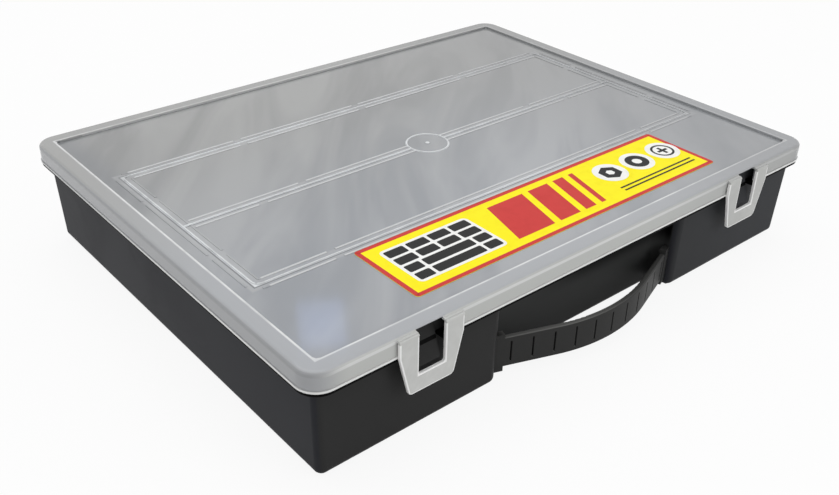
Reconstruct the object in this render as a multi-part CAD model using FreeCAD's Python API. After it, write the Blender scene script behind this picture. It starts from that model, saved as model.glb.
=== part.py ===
import FreeCAD, Part
import math
import os

# Organizer case: a black tub with loose dividers, a milky lid hinged along the back,
# two flap latches on the lid's front skirt and a bowed strap handle in a front recess.
# Millimetres. +X runs along the front, -Y is the front, +Z is up.
# The origin is the middle of the flat bottom.

# Whole case
lid_width = 365.0
lid_depth = 285.0
case_height = 64.0
cut_overrun = 10.0
touch_tolerance = 0.01

# Lid: a flat skirted cover whose middle panel lies a step below its rim
lid_wall = 1.8
lid_corner_radius = 11.5
lid_edge_radius = 2.0
skirt_height = 10.7
skirt_lip_height = 1.2
skirt_lip_proud = 0.4
rim_width = 10.1
panel_drop = 1.5
panel_corner_radius = 3.0
panel_step_round = 0.5
lid_seat_gap = 0.2

# Raised lines on the lid panel: a thin ridge over each divider row, closed to a frame, with a
# flat strip on either side of it, and a ring round the moulding gate
ridge_width = 0.9
ridge_height = 0.5
ridge_round = 0.3
ridge_corner_radius = 4.0
ridge_frame_inset = 21.0
strip_width = 1.3
strip_height = 0.3
strip_round = 0.2
strip_offset = 3.9
strip_break = 5.0
strip_end_gap = 1.5
gate_ring_radius = 13.0
gate_nub_radius = 1.3

# Tub
tub_wall = 2.0
tub_floor = 2.6
wall_inset_top = 5.5
wall_inset_bottom = 6.8
tub_corner_radius = 4.0
tub_bottom_round_share = 0.85
tub_inner_round_share = 0.8
tub_lip_headroom = 2.2
plinth_height = 1.5
plinth_inset = 4.5
flange_thickness = 1.6
flange_inset = 0.5

# Front recess for the handle
recess_width = 136.0
recess_inset = 18.5
recess_corner_share = 0.5
recess_entrance_share = 0.4

# Strap handle: an upright strap bent round in the middle, with straight flanks that end in taller
# blocks, each with a round head in a pocket of the recess side
strap_radius = 100.0
strap_flank_angle = 20.0
strap_reach = 8.2
strap_height = 18.0
strap_thickness = 3.0
strap_bottom = 7.0
strap_edge_round = 0.8
strap_slot_count = 11
strap_slot_pitch = 12.2
strap_slot_width = 1.0
strap_slot_height = 12.5
strap_slot_depth = 1.8
end_block_length = 5.5
end_block_thickness = 3.6
head_radius = 2.0
head_overhang = 2.3
head_depth = 2.2
head_gap = 0.15
pocket_wall = 1.8
pocket_root_share = 0.2

# Latches: flaps that hang from the lid's front edge, each with a window for its catch
latch_from_side = 63.5
latch_width = 37.0
latch_tip_width = 26.0
latch_length = 30.8
latch_thickness = 1.6
latch_gap = 0.2
latch_axis_drop = 2.2
latch_tip_round = 2.5
latch_edge_round = 0.45
latch_seat_gap = 0.05
latch_seat_height = 1.1
window_width = 15.5
window_sill = 9.5
window_round = 1.2
window_head_drop = 0.5
skirt_notch_gap = 0.3
skirt_notch_margin = 3.0

# Catches on the tub behind the latch windows
catch_width = 12.5
catch_nose_gap = 0.5
catch_nose_height = 1.0
catch_ledge_gap = 2.0
catch_height = 15.5

# Back hinges
hinge_from_side = 77.5
hinge_stand_off = 1.5
hinge_axis_lift = 0.7
knuckle_radius = 2.7
knuckle_length = 16.0
knuckle_gap = 0.3
ear_thickness = 5.0
ear_height = 10.0
pin_radius = 1.25
pin_gap = 0.05

# Dividers
divider_thickness = 1.4
divider_gap = 0.3
front_row_inset = 74.0
rear_column_pitch = 87.0
front_column_offset = 116.5
long_divider_headroom = 0.9
cross_divider_headroom = 2.7
cross_corner_round = 2.0
slot_rib_width = 1.2
slot_rib_reach = 2.5
slot_rib_headroom = 8.0

# Label on the lid panel
label_width = 225.0
label_depth = 49.0
label_thickness = 0.25
label_corner_radius = 2.0
label_front_gap = 10.0
label_shift = 2.8

# Levels and faces that follow from the sizes above
lid_half_width = lid_width / 2
lid_half_depth = lid_depth / 2
skirt_z = case_height - skirt_height
flange_top = skirt_z - lid_seat_gap
flange_bottom = flange_top - flange_thickness
rim_under_z = case_height - lid_wall
panel_z = case_height - panel_drop
panel_under_z = panel_z - lid_wall
tub_top = rim_under_z - tub_lip_headroom
skirt_inner_inset = skirt_lip_proud + lid_wall
tub_bottom_round = tub_bottom_round_share * tub_corner_radius
tub_inner_round = tub_inner_round_share * (tub_corner_radius - tub_wall)
recess_back_y = -lid_half_depth + recess_inset
recess_depth = recess_inset - wall_inset_bottom
recess_corner_radius = recess_corner_share * recess_depth
recess_entrance_radius = recess_entrance_share * recess_depth
strap_middle_radius = strap_radius - strap_thickness / 2
strap_centre_y = -lid_half_depth - strap_reach + strap_radius
flank_sine = math.sin(math.radians(strap_flank_angle))
flank_cosine = math.cos(math.radians(strap_flank_angle))
flank_start_x = strap_middle_radius * flank_sine
flank_start_y = strap_centre_y - strap_middle_radius * flank_cosine
head_x = recess_width / 2 + head_depth
flank_length = (head_x - flank_start_x) / flank_cosine
head_y = flank_start_y + flank_length * flank_sine
latch_offset = lid_half_width - latch_from_side
latch_axis_z = case_height - latch_axis_drop
latch_inner_y = -lid_half_depth - latch_gap
latch_axis_y = latch_inner_y - latch_thickness / 2
hinge_offset = lid_half_width - hinge_from_side
hinge_y = lid_half_depth + hinge_stand_off
hinge_z = skirt_z + hinge_axis_lift
long_divider_top = panel_under_z - long_divider_headroom
cross_divider_top = panel_under_z - cross_divider_headroom
slot_rib_top = long_divider_top - slot_rib_headroom
divider_row_pitch = lid_half_depth - front_row_inset
rows = (divider_row_pitch, 0, -divider_row_pitch)
rear_columns = {"left": -rear_column_pitch, "middle": 0, "right": rear_column_pitch}
front_columns = {"left": -front_column_offset, "right": front_column_offset}
sides = (("left", -1), ("right", 1))

X_AXIS = FreeCAD.Vector(1, 0, 0)
Y_AXIS = FreeCAD.Vector(0, 1, 0)
Z_AXIS = FreeCAD.Vector(0, 0, 1)


def box(x, y, z):
    """A box from its (low, high) pairs along X, Y and Z."""
    corner = FreeCAD.Vector(x[0], y[0], z[0])
    return Part.makeBox(x[1] - x[0], y[1] - y[0], z[1] - z[0], corner)


def cylinder_x(radius, x, y, z):
    """A round bar along X, from x[0] to x[1]."""
    return Part.makeCylinder(radius, x[1] - x[0], FreeCAD.Vector(x[0], y, z), X_AXIS)


def rounded_outline(half_x, half_y, radius, z):
    """A rectangle about the Z axis with round corners, as a closed wire."""
    edges = []
    for sign_x, sign_y, start in ((1, 1, 0), (-1, 1, 90), (-1, -1, 180), (1, -1, 270)):
        centre = FreeCAD.Vector(sign_x * (half_x - radius), sign_y * (half_y - radius), z)
        edges.append(Part.makeCircle(radius, centre, Z_AXIS, start, start + 90))
    points = [(edge.firstVertex().Point, edge.lastVertex().Point) for edge in edges]
    wire_edges = []
    for index, edge in enumerate(edges):
        next_start = points[(index + 1) % len(edges)][0]
        wire_edges += [edge, Part.makeLine(points[index][1], next_start)]
    return Part.Wire(wire_edges)


def inset_outline(inset, radius, z):
    """The lid's rectangle brought in by inset on every side."""
    return rounded_outline(lid_half_width - inset, lid_half_depth - inset, radius, z)


def inset_prism(inset, radius, z):
    """An upright prism on the inset lid rectangle, from z[0] to z[1]."""
    face = Part.Face(inset_outline(inset, radius, z[0]))
    return face.extrude(Z_AXIS * (z[1] - z[0]))


def outline_prism(points, direction):
    """A prism on a closed outline of points, pushed along direction."""
    face = Part.Face(Part.makePolygon([*points, points[0]]))
    return face.extrude(direction)


def edges_at_height(shape, z):
    """The edges that lie flat at height z."""
    def is_flat(edge):
        span = edge.BoundBox
        return abs(span.ZMin - z) < touch_tolerance and abs(span.ZMax - z) < touch_tolerance
    return [edge for edge in shape.Edges if is_flat(edge)]


def is_within(edge, inset):
    """Whether an edge lies inside the lid's rectangle brought in by inset."""
    span = edge.BoundBox
    reach_x = lid_half_width - inset + touch_tolerance
    reach_y = lid_half_depth - inset + touch_tolerance
    return max(-span.XMin, span.XMax) < reach_x and max(-span.YMin, span.YMax) < reach_y


def fuse(*shapes):
    """One solid from shapes that overlap."""
    return shapes[0].multiFuse(shapes[1:]).removeSplitter()


def wall_inset(z):
    """Inset of the tub's outer wall at height z: the walls lean in towards the bottom."""
    return wall_inset_bottom + (wall_inset_top - wall_inset_bottom) * z / tub_top


def tub_loft(extra_inset, z):
    """The space inside the tub's leaning walls, brought in by extra_inset, from z[0] to z[1]."""
    radius = tub_corner_radius - extra_inset
    outlines = [inset_outline(wall_inset(level) + extra_inset, radius, level) for level in z]
    return Part.makeLoft(outlines, True, True)


def inner_half_width(z):
    """Half the clear width between the tub's side walls at height z."""
    return lid_half_width - wall_inset(z) - tub_wall


def inner_half_depth(z):
    """Half the clear depth between the tub's front and back walls at height z."""
    return lid_half_depth - wall_inset(z) - tub_wall


def recess_prism(grow, z):
    """The handle recess, grown by a wall, from z[0] to z[1]; its back corners are round."""
    half = recess_width / 2 + grow
    back = recess_back_y + grow
    front = -lid_half_depth - cut_overrun
    prism = box((-half, half), (front, back), z)
    corners = [edge for edge in prism.Edges if edge.BoundBox.YMin > back - touch_tolerance]
    upright = [edge for edge in corners if edge.BoundBox.ZMax - edge.BoundBox.ZMin > touch_tolerance]
    return prism.makeFillet(recess_corner_radius + grow, upright)


def recessed_body():
    """The outside of the tub below its flange: leaning walls, the handle recess and round edges."""
    body = tub_loft(0, (plinth_height, flange_bottom))
    body = body.cut(recess_prism(0, (0, flange_bottom + cut_overrun)))
    half = recess_width / 2
    flat_back = recess_back_y - recess_corner_radius
    entrances = []
    for edge in body.Edges:
        span = edge.BoundBox
        beside = abs(max(-span.XMin, span.XMax) - half) < touch_tolerance and span.XLength < touch_tolerance
        upright = span.ZLength > (flange_bottom - plinth_height) / 2
        if beside and upright and span.YMax < flat_back - touch_tolerance:
            entrances.append(edge)
    body = body.makeFillet(recess_entrance_radius, entrances)
    return body.makeFillet(tub_bottom_round, edges_at_height(body, plinth_height))


def on_flank(side, along, outwards):
    """A plan point on one flank of the strap, outwards from its middle line."""
    return FreeCAD.Vector(
        side * (flank_start_x + along * flank_cosine + outwards * flank_sine),
        flank_start_y + along * flank_sine - outwards * flank_cosine,
        0,
    )


def strap_plan(half, reach):
    """The strap seen from above: half to either side of its middle line, its flanks of length reach."""
    def bend(outwards):
        tip = FreeCAD.Vector(0, strap_centre_y - strap_middle_radius - outwards, 0)
        return Part.Arc(on_flank(-1, 0, outwards), tip, on_flank(1, 0, outwards)).toShape()

    edges = [bend(half), bend(-half)]
    for _, side in sides:
        ends = [on_flank(side, reach, half), on_flank(side, reach, -half)]
        edges.append(Part.makeLine(on_flank(side, 0, half), ends[0]))
        edges.append(Part.makeLine(ends[0], ends[1]))
        edges.append(Part.makeLine(ends[1], on_flank(side, 0, -half)))
    return Part.Face(Part.Wire(Part.__sortEdges__(edges)))


def strap_body(gap):
    """The bent strap with its end blocks and heads, grown by gap all round."""
    half = strap_thickness / 2 + gap
    low = strap_bottom - gap
    high = strap_bottom + strap_height + gap
    block_start = flank_length - (head_depth + end_block_length) / flank_cosine - gap
    plan = strap_plan(half, (block_start + flank_length) / 2)
    plan.translate(Z_AXIS * low)
    strap = plan.extrude(Z_AXIS * (high - low))
    rims = edges_at_height(strap, low) + edges_at_height(strap, high)
    bends = [edge for edge in rims if edge.Length > 2 * half + touch_tolerance]
    strap = strap.makeFillet(strap_edge_round + gap, bends)
    block_low = low - head_overhang
    block_height = high - low + 2 * head_overhang
    block_half = end_block_thickness / 2 + gap
    ends = []
    for _, side in sides:
        corners = [
            on_flank(side, block_start, block_half),
            on_flank(side, flank_length, block_half),
            on_flank(side, flank_length, -block_half),
            on_flank(side, block_start, -block_half),
        ]
        block = outline_prism(corners, Z_AXIS * block_height)
        block.translate(Z_AXIS * block_low)
        foot = FreeCAD.Vector(side * head_x, head_y, block_low)
        ends += [block, Part.makeCylinder(head_radius + gap, block_height, foot)]
    return fuse(strap, *ends)


def strap_slot(along):
    """The tool for one upright slot in the strap's outer face, at a distance along it from the middle."""
    bend_half = strap_middle_radius * math.radians(strap_flank_angle)
    middle_z = strap_bottom + strap_height / 2
    slot = box(
        (-strap_slot_width / 2, strap_slot_width / 2),
        (-strap_thickness / 2 - cut_overrun, -strap_thickness / 2 + strap_slot_depth),
        (middle_z - strap_slot_height / 2, middle_z + strap_slot_height / 2),
    )
    side = math.copysign(1, along)
    turn = min(abs(along), bend_half) / strap_middle_radius
    slot.rotate(FreeCAD.Vector(0, 0, 0), Z_AXIS, math.degrees(side * turn))
    on_bend = FreeCAD.Vector(
        side * strap_middle_radius * math.sin(turn),
        strap_centre_y - strap_middle_radius * math.cos(turn),
        0,
    )
    beyond = max(abs(along) - bend_half, 0)
    slot.translate(on_bend + FreeCAD.Vector(side * beyond * flank_cosine, beyond * flank_sine, 0))
    return slot


def carry_handle():
    """The strap handle, with a row of upright slots in its outer face."""
    strap = strap_body(0)
    for index in range(strap_slot_count):
        along = (index - (strap_slot_count - 1) / 2) * strap_slot_pitch
        strap = strap.cut(strap_slot(along))
    return strap


def handle_pocket_bosses():
    """Bosses inside the tub, rooted in the recess sides and the floor, for the handle heads' pockets."""
    reach = head_radius + head_gap + pocket_wall
    root_x = recess_width / 2 + tub_wall - pocket_root_share * tub_wall
    root_z = tub_floor - pocket_root_share * (tub_floor - plinth_height)
    top_z = strap_bottom + strap_height + head_overhang + head_gap + pocket_wall
    bosses = []
    for _, side in sides:
        x = sorted((side * root_x, side * (head_x + reach)))
        bosses.append(box(x, (head_y - reach, head_y + reach), (root_z, top_z)))
    return bosses


def slot_rib_pair_across(x, y):
    """Two upright ribs on a side wall, either side of a long divider's end."""
    shift = divider_thickness / 2 + divider_gap + slot_rib_width / 2
    ribs = []
    for sign in (-1, 1):
        middle = y + sign * shift
        span = (middle - slot_rib_width / 2, middle + slot_rib_width / 2)
        ribs.append(box(sorted(x), span, (tub_floor, slot_rib_top)))
    return ribs


def slot_rib_pair_along(x, y):
    """Two upright ribs on a front, back or divider face, either side of a cross divider's end."""
    shift = divider_thickness / 2 + divider_gap + slot_rib_width / 2
    ribs = []
    for sign in (-1, 1):
        middle = x + sign * shift
        span = (middle - slot_rib_width / 2, middle + slot_rib_width / 2)
        ribs.append(box(span, sorted(y), (tub_floor, slot_rib_top)))
    return ribs


def front_inner_y(x, z):
    """The clear face of the front wall at x: the recess brings it in."""
    recess_side = recess_width / 2 + tub_wall
    if abs(x) < recess_side:
        return recess_back_y + tub_wall
    return -inner_half_depth(z)


def tub_slot_ribs(outer):
    """The ribs moulded on the tub's walls that hold the dividers' ends, trimmed to its outside."""
    ribs = []
    face = inner_half_width(tub_floor)
    for y in rows:
        for _, side in sides:
            ribs += slot_rib_pair_across((side * (face - slot_rib_reach), side * (face + tub_wall)), y)
    back = inner_half_depth(tub_floor)
    for x in rear_columns.values():
        ribs += slot_rib_pair_along(x, (back - slot_rib_reach, back + tub_wall))
    for x in front_columns.values():
        front = front_inner_y(x, tub_floor)
        ribs += slot_rib_pair_along(x, (front - tub_wall, front + slot_rib_reach))
    return [rib.common(outer) for rib in ribs]


def catch(side):
    """The wedge behind a latch window: it ramps out downwards and ends in a ledge."""
    ledge_z = latch_axis_z - latch_length + window_sill + catch_ledge_gap
    nose_y = latch_inner_y + catch_nose_gap
    wall_y = -lid_half_depth + wall_inset(ledge_z) + tub_wall / 2
    top_z = ledge_z + catch_height
    x = side * latch_offset - catch_width / 2
    profile = [
        (wall_y, ledge_z),
        (nose_y, ledge_z),
        (nose_y, ledge_z + catch_nose_height),
        (-lid_half_depth + wall_inset(top_z), top_z),
        (wall_y, top_z),
    ]
    points = [FreeCAD.Vector(x, y, z) for y, z in profile]
    return outline_prism(points, X_AXIS * catch_width)


def ear_spans(side):
    """The two stretches along X that the tub's hinge ears take at one hinge."""
    inner = knuckle_length / 2 + knuckle_gap
    middle = side * hinge_offset
    return [
        (middle - inner - ear_thickness, middle - inner),
        (middle + inner, middle + inner + ear_thickness),
    ]


def knuckle_span(side, gap):
    """The stretch along X of the lid's knuckle at one hinge, with gap at each end."""
    half = knuckle_length / 2 + gap
    return (side * hinge_offset - half, side * hinge_offset + half)


def hinge_ear(x):
    """One ear of the tub: a round eye on a gusset that runs down the back wall."""
    eye = cylinder_x(knuckle_radius, x, hinge_y, hinge_z)
    low_z = flange_bottom - ear_height
    wall_y = lid_half_depth - wall_inset(low_z) - tub_wall / 2
    slope = math.radians(45)
    points = [
        FreeCAD.Vector(x[0], wall_y, low_z),
        FreeCAD.Vector(x[0], wall_y, flange_top),
        FreeCAD.Vector(x[0], hinge_y, flange_top),
        FreeCAD.Vector(
            x[0],
            hinge_y + knuckle_radius * math.cos(slope),
            hinge_z - knuckle_radius * math.sin(slope),
        ),
    ]
    gusset = outline_prism(points, X_AXIS * (x[1] - x[0]))
    skirt_room = box(x, (0, lid_half_depth + knuckle_gap), (flange_top, case_height))
    return fuse(eye, gusset).cut(skirt_room)


def base_tub():
    """The tub: leaning walls, flat plinth, rim flange, handle recess, catches, ears and ribs."""
    body = recessed_body()
    outer = fuse(body, tub_loft(0, (flange_bottom, tub_top)))
    cavity = tub_loft(tub_wall, (tub_floor, tub_top + cut_overrun))
    cavity = cavity.makeFillet(tub_inner_round, edges_at_height(cavity, tub_floor))
    plinth_edge = wall_inset_bottom + plinth_inset
    plinth = inset_prism(plinth_edge, tub_corner_radius, (0, tub_floor))
    plinth_recess = box(
        (-recess_width / 2 - plinth_inset, recess_width / 2 + plinth_inset),
        (-lid_half_depth, recess_back_y + plinth_inset),
        (-cut_overrun, tub_floor),
    )
    flange = inset_prism(flange_inset, lid_corner_radius - flange_inset, (flange_bottom, flange_top))
    tub = fuse(outer, plinth.cut(plinth_recess), flange)
    tub = tub.cut(cavity.cut(recess_prism(tub_wall, (0, flange_bottom + tub_wall))))
    grown = [*handle_pocket_bosses(), *tub_slot_ribs(outer)]
    for _, side in sides:
        window = window_width / 2 + latch_gap
        notch = box(
            (side * latch_offset - window, side * latch_offset + window),
            (-lid_half_depth, -lid_half_depth + wall_inset(flange_top)),
            (flange_bottom, flange_top),
        )
        tub = tub.cut(notch)
        room = cylinder_x(knuckle_radius + knuckle_gap, knuckle_span(side, knuckle_gap), hinge_y, hinge_z)
        tub = tub.cut(room)
        grown.append(catch(side))
        grown += [hinge_ear(span) for span in ear_spans(side)]
    tub = fuse(tub, *grown)
    for _, side in sides:
        ears = ear_spans(side)
        tub = tub.cut(cylinder_x(pin_radius, (ears[0][0], ears[1][1]), hinge_y, hinge_z))
    return tub.cut(strap_body(head_gap))


def ridge_frame(half_x, half_y):
    """The raised closed line on the lid panel, with softened upper edges."""
    low = panel_z - ridge_height
    high = panel_z + ridge_height
    half = ridge_width / 2
    radius = ridge_corner_radius
    outside = Part.Face(rounded_outline(half_x + half, half_y + half, radius + half, low))
    inside = Part.Face(rounded_outline(half_x - half, half_y - half, radius - half, low))
    ring = outside.cut(inside).extrude(Z_AXIS * (high - low))
    return ring.makeFillet(ridge_round, edges_at_height(ring, high))


def raised_bar(x, y, height, edge_round):
    """A raised straight bar on the lid panel, with softened upper edges."""
    high = panel_z + height
    bar = box(x, y, (panel_z - height, high))
    return bar.makeFillet(edge_round, edges_at_height(bar, high))


def gate_mark():
    """The ring and nub at the middle of the lid, where the moulding was filled."""
    low = panel_z - ridge_height
    height = 2 * ridge_height
    foot = FreeCAD.Vector(0, 0, low)
    outside = Part.makeCylinder(gate_ring_radius, height, foot)
    ring = outside.cut(Part.makeCylinder(gate_ring_radius - ridge_width, height, foot))
    ring = ring.makeFillet(ridge_round, edges_at_height(ring, low + height))
    nub = Part.makeCylinder(gate_nub_radius, height, foot)
    return ring, nub.makeFillet(ridge_round, edges_at_height(nub, low + height))


def broken_spans(reach, breaks):
    """The stretches from -reach to reach that the strip breaks leave."""
    stops = [-reach]
    for middle in breaks:
        stops += [middle - strip_break / 2, middle + strip_break / 2]
    stops.append(reach)
    return list(zip(stops[::2], stops[1::2]))


def row_strips(y, columns, reach):
    """The strip along X at y, broken at the columns of cross dividers."""
    across = (y - strip_width / 2, y + strip_width / 2)
    spans = broken_spans(reach, columns.values())
    return [raised_bar(span, across, strip_height, strip_round) for span in spans]


def side_strips(x, reach):
    """The strip along Y at x, broken at the middle of each bay."""
    across = (x - strip_width / 2, x + strip_width / 2)
    spans = broken_spans(reach, (-divider_row_pitch / 2, divider_row_pitch / 2))
    return [raised_bar(across, span, strip_height, strip_round) for span in spans]


def panel_ridges():
    """The frame line, the middle line, the strips beside them and the gate mark."""
    frame_x = lid_half_width - ridge_frame_inset
    frame_y = divider_row_pitch
    outer_x = frame_x - strip_end_gap
    outer_y = frame_y - strip_end_gap
    inner_x = frame_x - strip_offset
    inner_y = frame_y - strip_offset
    middle_line = (-ridge_width / 2, ridge_width / 2)
    lines = [raised_bar((-frame_x, frame_x), middle_line, ridge_height, ridge_round)]
    lines += row_strips(frame_y + strip_offset, rear_columns, outer_x)
    lines += row_strips(inner_y, rear_columns, inner_x)
    lines += row_strips(strip_offset, rear_columns, inner_x)
    lines += row_strips(-strip_offset, front_columns, inner_x)
    lines += row_strips(-inner_y, front_columns, inner_x)
    lines += row_strips(-frame_y - strip_offset, front_columns, outer_x)
    for _, side in sides:
        lines += side_strips(side * inner_x, inner_y)
        lines += side_strips(side * (frame_x + strip_offset), outer_y)
    gate_foot = FreeCAD.Vector(0, 0, panel_z - cut_overrun)
    gate_room = Part.makeCylinder(gate_ring_radius - ridge_width / 2, 2 * cut_overrun, gate_foot)
    trimmed = [line.cut(gate_room) for line in lines]
    return [ridge_frame(frame_x, frame_y), *trimmed, *gate_mark()]


def lid():
    """The lid: skirt, rim, dropped panel with its raised lines, latch seats and hinge knuckles."""
    shell = inset_prism(skirt_lip_proud, lid_corner_radius - skirt_lip_proud, (skirt_z, case_height))
    shell = shell.makeFillet(lid_edge_radius, edges_at_height(shell, case_height))
    lip = inset_prism(0, lid_corner_radius, (skirt_z, skirt_z + skirt_lip_height))
    inner_radius = lid_corner_radius - skirt_inner_inset
    below = skirt_z - cut_overrun
    under_panel = inset_prism(skirt_inner_inset, inner_radius, (below, panel_under_z))
    channel_inset = rim_width - lid_wall
    channel = inset_prism(skirt_inner_inset, inner_radius, (below, rim_under_z))
    channel = channel.cut(inset_prism(channel_inset, panel_corner_radius + lid_wall, (below, case_height)))
    dropped = inset_prism(rim_width, panel_corner_radius, (panel_z, case_height + cut_overrun))
    cover = fuse(shell, lip).cut(under_panel).cut(channel).cut(dropped)
    step = edges_at_height(cover, panel_z)
    step += [edge for edge in edges_at_height(cover, case_height) if is_within(edge, rim_width)]
    cover = cover.makeFillet(panel_step_round, step)
    added = panel_ridges()
    for _, side in sides:
        knuckle = cylinder_x(knuckle_radius, knuckle_span(side, 0), hinge_y, hinge_z)
        web = box(
            knuckle_span(side, 0),
            (lid_half_depth - skirt_inner_inset, hinge_y),
            (hinge_z, hinge_z + knuckle_radius),
        )
        added += [knuckle, web]
        half = latch_width / 2
        added.append(box(
            (side * latch_offset - half, side * latch_offset + half),
            (latch_axis_y, -lid_half_depth + lid_edge_radius),
            (latch_axis_z, latch_axis_z + latch_seat_height),
        ))
    cover = fuse(cover, *added)
    for _, side in sides:
        half = window_width / 2
        window = box(
            (side * latch_offset - half, side * latch_offset + half),
            (latch_inner_y - latch_thickness, -lid_half_depth + skirt_inner_inset),
            (skirt_z, case_height - window_head_drop),
        )
        half = window_width / 2 + skirt_notch_margin
        notch = box(
            (side * latch_offset - half, side * latch_offset + half),
            (-lid_half_depth, -lid_half_depth + skirt_inner_inset),
            (skirt_z, latch_axis_z + skirt_notch_gap),
        )
        half = latch_width / 2 + latch_gap
        seat_x = (side * latch_offset - half, side * latch_offset + half)
        seat_radius = latch_thickness / 2 + latch_seat_gap
        seat = cylinder_x(seat_radius, seat_x, latch_axis_y, latch_axis_z)
        bore_x = knuckle_span(side, 0)
        bore = cylinder_x(pin_radius + pin_gap, bore_x, hinge_y, hinge_z)
        cover = cover.cut([window, notch, seat, bore])
        for low, high in ear_spans(side):
            span = (low - knuckle_gap, high + knuckle_gap)
            cover = cover.cut(cylinder_x(knuckle_radius + knuckle_gap, span, hinge_y, hinge_z))
    return cover


def latch(side):
    """One latch flap: a tapering plate with a window, hung from two round beads on its axis."""
    middle = side * latch_offset
    half_top = latch_width / 2
    half_tip = latch_tip_width / 2
    half_window = window_width / 2
    tip_z = latch_axis_z - latch_length
    sill_z = tip_z + window_sill
    outline = [
        (-half_top, latch_axis_z),
        (-half_top, skirt_z),
        (-half_tip, tip_z),
        (half_tip, tip_z),
        (half_top, skirt_z),
        (half_top, latch_axis_z),
        (half_window, latch_axis_z),
        (half_window, sill_z),
        (-half_window, sill_z),
        (-half_window, latch_axis_z),
    ]
    points = [FreeCAD.Vector(middle + x, latch_inner_y, z) for x, z in outline]
    plate = outline_prism(points, -Y_AXIS * latch_thickness)

    def corner_edges(z):
        level = edges_at_height(plate, z)
        return [edge for edge in level if abs(edge.Length - latch_thickness) < touch_tolerance]

    plate = plate.makeFillet(latch_tip_round, corner_edges(tip_z))
    plate = plate.makeFillet(window_round, corner_edges(sill_z))
    outer_y = latch_inner_y - latch_thickness
    facing = [edge for edge in plate.Edges if abs(edge.BoundBox.YMax - outer_y) < touch_tolerance]
    front = [edge for edge in facing if edge.BoundBox.ZMin < latch_axis_z - touch_tolerance]
    plate = plate.makeFillet(latch_edge_round, front)
    beads = []
    for sign in (-1, 1):
        x = sorted((middle + sign * half_window, middle + sign * half_top))
        beads.append(cylinder_x(latch_thickness / 2, x, latch_axis_y, latch_axis_z))
    return fuse(plate, *beads)


def hinge_pin(side):
    """The steel pin through one hinge's ears and knuckle."""
    ears = ear_spans(side)
    return cylinder_x(pin_radius, (ears[0][0], ears[1][1]), hinge_y, hinge_z)


def lid_label():
    """The thin printed label on the front of the lid panel."""
    front = -lid_half_depth + rim_width + label_front_gap
    outline = rounded_outline(label_width / 2, label_depth / 2, label_corner_radius, panel_z)
    label = Part.Face(outline).extrude(Z_AXIS * label_thickness)
    label.translate(FreeCAD.Vector(label_shift, front + label_depth / 2, 0))
    return label


def long_divider(y, rear_face_columns, front_face_columns):
    """A full-width divider with slot ribs on both faces for the cross dividers."""
    half = divider_thickness / 2
    low = inner_half_width(tub_floor) - tub_inner_round - divider_gap
    middle = inner_half_width(tub_floor + tub_inner_round) - divider_gap
    high = inner_half_width(long_divider_top) - divider_gap
    profile = [
        (-low, tub_floor),
        (low, tub_floor),
        (middle, tub_floor + tub_inner_round),
        (high, long_divider_top),
        (-high, long_divider_top),
        (-middle, tub_floor + tub_inner_round),
    ]
    points = [FreeCAD.Vector(x, y - half, z) for x, z in profile]
    plate = outline_prism(points, Y_AXIS * divider_thickness)
    ribs = []
    for x in rear_face_columns.values():
        ribs += slot_rib_pair_along(x, (y, y + half + slot_rib_reach))
    for x in front_face_columns.values():
        ribs += slot_rib_pair_along(x, (y - half - slot_rib_reach, y))
    return fuse(plate, *ribs)


def cross_divider(x, front_y, back_y, front_is_wall, back_is_wall):
    """A short divider between two faces, given at the floor and at its top, each (low, high)."""
    half = divider_thickness / 2
    front_ease = tub_inner_round if front_is_wall else 0
    back_ease = tub_inner_round if back_is_wall else 0
    bend_z = tub_floor + tub_inner_round
    profile = [
        (front_y[0] + divider_gap + front_ease, tub_floor),
        (back_y[0] - divider_gap - back_ease, tub_floor),
        (back_y[0] - divider_gap, bend_z),
        (back_y[1] - divider_gap, cross_divider_top),
        (front_y[1] + divider_gap, cross_divider_top),
        (front_y[0] + divider_gap, bend_z),
    ]
    points = [FreeCAD.Vector(x - half, y, z) for y, z in profile]
    plate = outline_prism(points, X_AXIS * divider_thickness)
    corners = [
        edge for edge in edges_at_height(plate, cross_divider_top)
        if abs(edge.Length - divider_thickness) < touch_tolerance
    ]
    return plate.makeFillet(cross_corner_round, corners)


def cross_dividers():
    """Every cross divider by name, row by row from the back."""
    half = divider_thickness / 2
    pieces = {}
    row_faces = {
        "row_a": (rows[0] + half, None, rear_columns),
        "row_b": (rows[1] + half, rows[0] - half, rear_columns),
        "row_c": (rows[2] + half, rows[1] - half, front_columns),
        "row_d": (None, rows[2] - half, front_columns),
    }
    bend_z = tub_floor + tub_inner_round
    for row, (front, back, columns) in row_faces.items():
        for column, x in columns.items():
            front_wall = (front_inner_y(x, bend_z), front_inner_y(x, cross_divider_top))
            back_wall = (inner_half_depth(bend_z), inner_half_depth(cross_divider_top))
            front_y = front_wall if front is None else (front, front)
            back_y = back_wall if back is None else (back, back)
            name = f"cross_divider_{row}_{column}"
            pieces[name] = cross_divider(x, front_y, back_y, front is None, back is None)
    return pieces


def all_parts():
    """Every piece of the case by node name."""
    pieces = {
        "base_tub": base_tub(),
        "lid": lid(),
        "lid_label": lid_label(),
        "carry_handle": carry_handle(),
        "long_divider_rear": long_divider(rows[0], rear_columns, rear_columns),
        "long_divider_middle": long_divider(rows[1], rear_columns, front_columns),
        "long_divider_front": long_divider(rows[2], front_columns, front_columns),
    }
    for name, side in sides:
        pieces[f"latch_{name}"] = latch(side)
        pieces[f"hinge_pin_{name}"] = hinge_pin(side)
    pieces.update(cross_dividers())
    return pieces


os.makedirs("parts", exist_ok=True)
for node, shape in all_parts().items():
    print(node, "solids", len(shape.Solids), "valid", shape.isValid(), "volume", round(shape.Volume))
    shape.exportStep(f"parts/{node}.step")
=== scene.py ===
import bpy
import math
from mathutils import Matrix, Vector


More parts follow.
